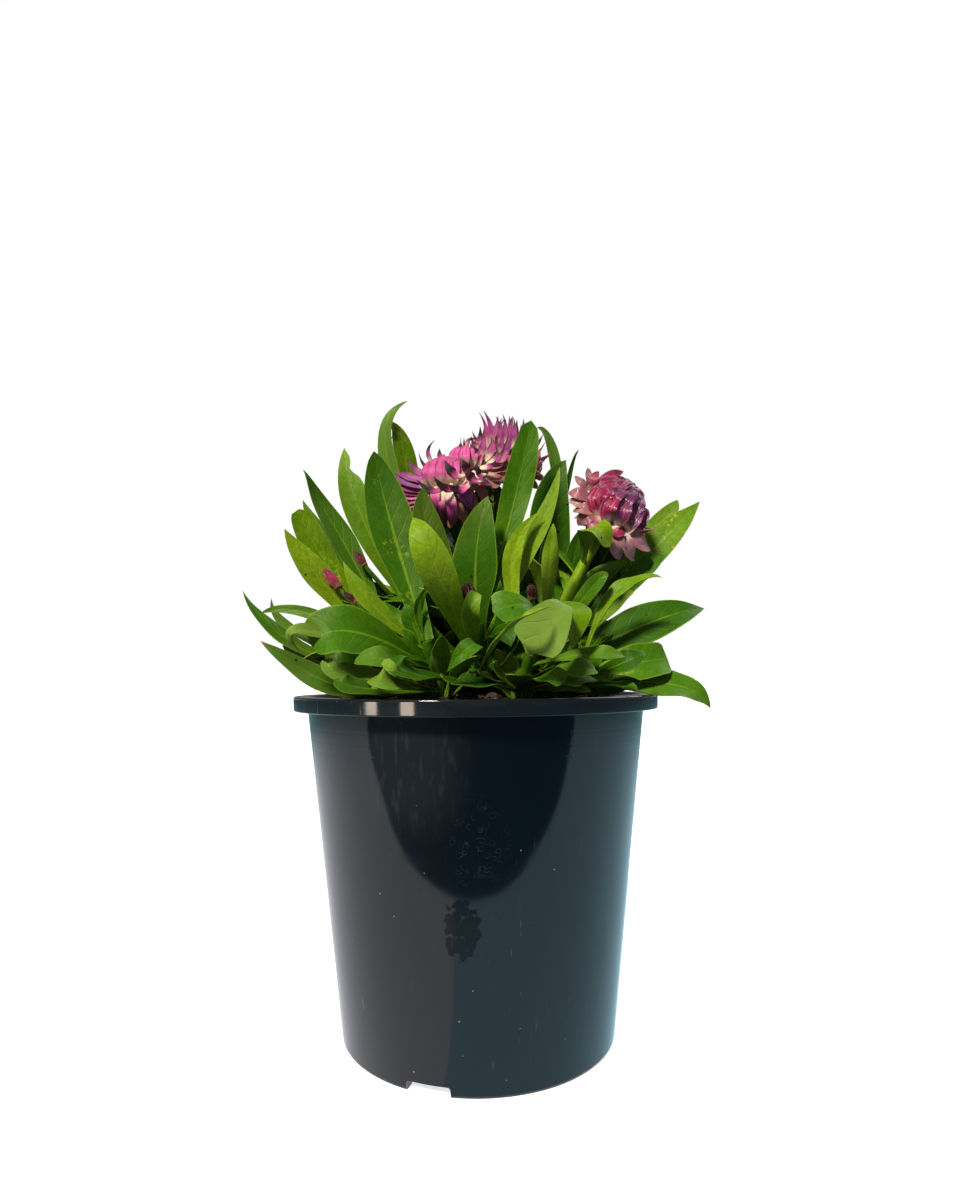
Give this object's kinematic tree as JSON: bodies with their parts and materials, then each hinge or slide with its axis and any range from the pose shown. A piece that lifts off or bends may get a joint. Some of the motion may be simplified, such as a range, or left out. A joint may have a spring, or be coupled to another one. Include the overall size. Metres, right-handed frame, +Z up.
{
  "type": "potted strawflower plant",
  "caption": "Young strawflower plant in a round black nursery pot, with leafy stems, a crested double bloom, a closed bloom and small buds.",
  "frame": {"origin": "on the pot's axis, on the surface that its foot ring stands on", "axes": "+Z up along the pot's axis, -Y towards the front from which both blooms show, +X to the right"},
  "size_m": [0.18, 0.1572, 0.2523],
  "materials": {
    "pot": "glossy black moulded plastic with scuffs and water marks",
    "potting_mix": "moist bark and peat",
    "leaf": "fresh green leaf, satin, with a pale midrib",
    "bract_crested": "papery pink and magenta bracts with cream bases",
    "bract_closed": "papery deep rose and purple bracts with cream bases",
    "bud": "tight maroon bud scales"
  },
  "bodies": {
    "root": {"pot": "pot", "potting_mix": "potting_mix", "shoot_far_left": "leaf", "shoot_left": "leaf", "shoot_front_left": "leaf", "shoot_tall_left": "leaf", "shoot_centre": "leaf", "shoot_front": "leaf", "shoot_right": "leaf", "shoot_tall_right": "leaf", "shoot_far_right": "leaf", "shoot_back_left": "leaf", "shoot_back": "leaf", "shoot_back_right": "leaf", "bloom_crested": "bract_crested", "bloom_closed": "bract_closed", "bud_pink": "bud", "bud_slim": "bud", "bud_magenta": "bud", "bud_maroon": "bud", "bud_dark": "bud", "bud_side": "bud"}
  },
  "joints": []
}
